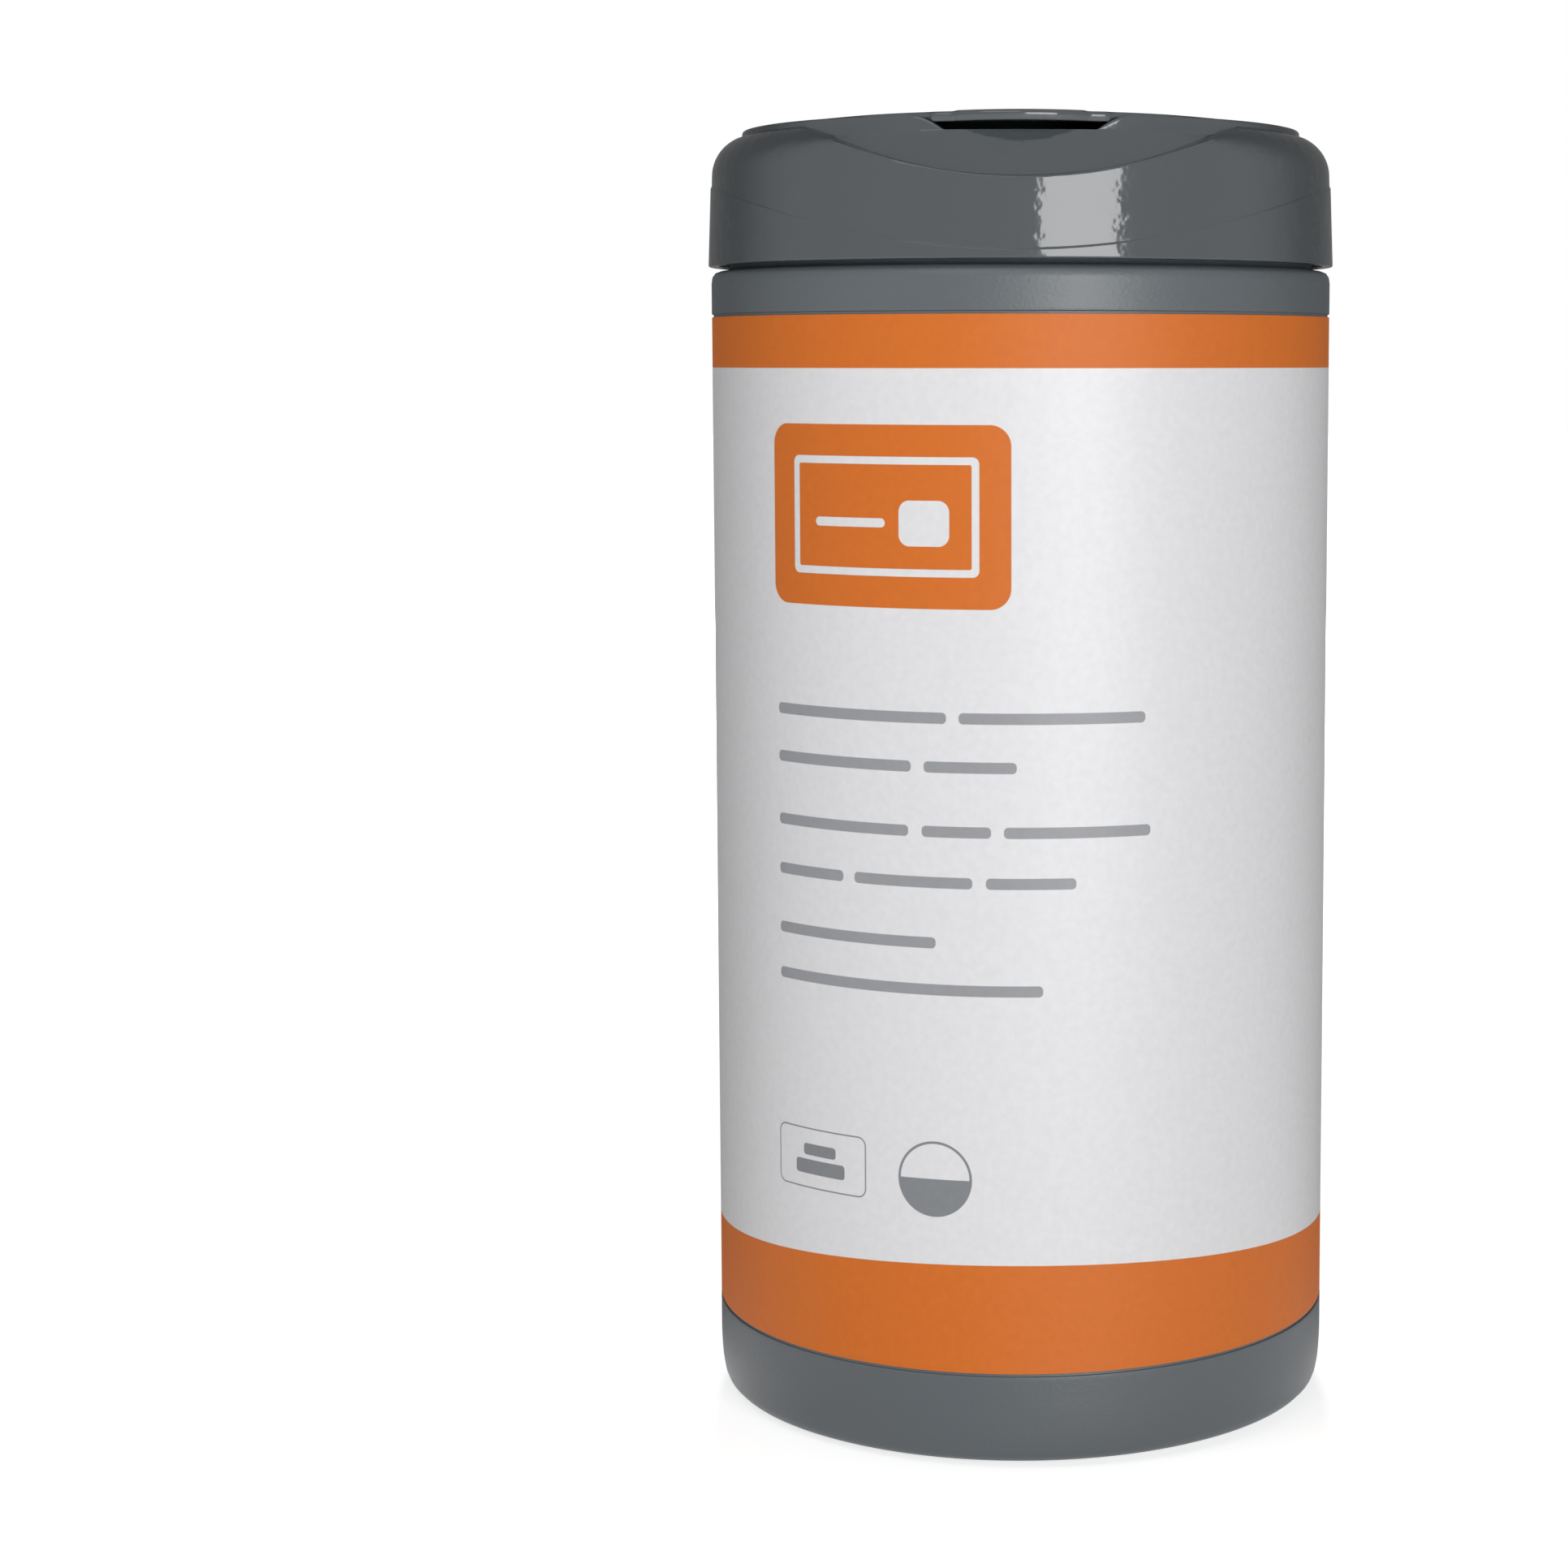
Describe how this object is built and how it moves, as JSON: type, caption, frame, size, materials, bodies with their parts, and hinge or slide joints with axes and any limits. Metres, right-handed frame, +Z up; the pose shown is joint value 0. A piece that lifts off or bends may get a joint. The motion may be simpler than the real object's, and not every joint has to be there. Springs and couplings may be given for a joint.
{
  "type": "wipes canister",
  "caption": "Round canister of pull-out wet wipes: moulded tub with a wrap label, a roll inside, and a push-on lid with a hinged dispensing flap.",
  "frame": {"origin": "centre of the standing ring, at the bottom of the tub", "axes": "+Z up the tub, the flap's thumb tab faces -Y and its hinge is at +Y"},
  "size_m": [0.0888, 0.0888, 0.1821],
  "materials": {
    "tub_plastic": "satin blow-moulded polyethylene, cool grey, fine orange-peel grain",
    "label_film": "satin silver-white film printed with orange bands at head and foot",
    "wipe_cloth": "damp white nonwoven",
    "lid_plastic": "glossy injection-moulded polypropylene, cool grey"
  },
  "bodies": {
    "tub": {"tub": "tub_plastic", "label": "label_film", "wipes_roll": "wipe_cloth"},
    "lid": {"lid": "lid_plastic"},
    "flap": {"flap": "lid_plastic"}
  },
  "joints": [
    {"name": "lid_lift", "type": "slide", "parent": "tub", "child": "lid", "axis": [0, 0, 1], "range_m": [0, 0.04]},
    {"name": "flap_hinge", "type": "hinge", "parent": "lid", "child": "flap", "pos_m": [0, 0.0399, 0.18085], "axis": [-1, 0, 0], "range_deg": [0, 125]}
  ]
}
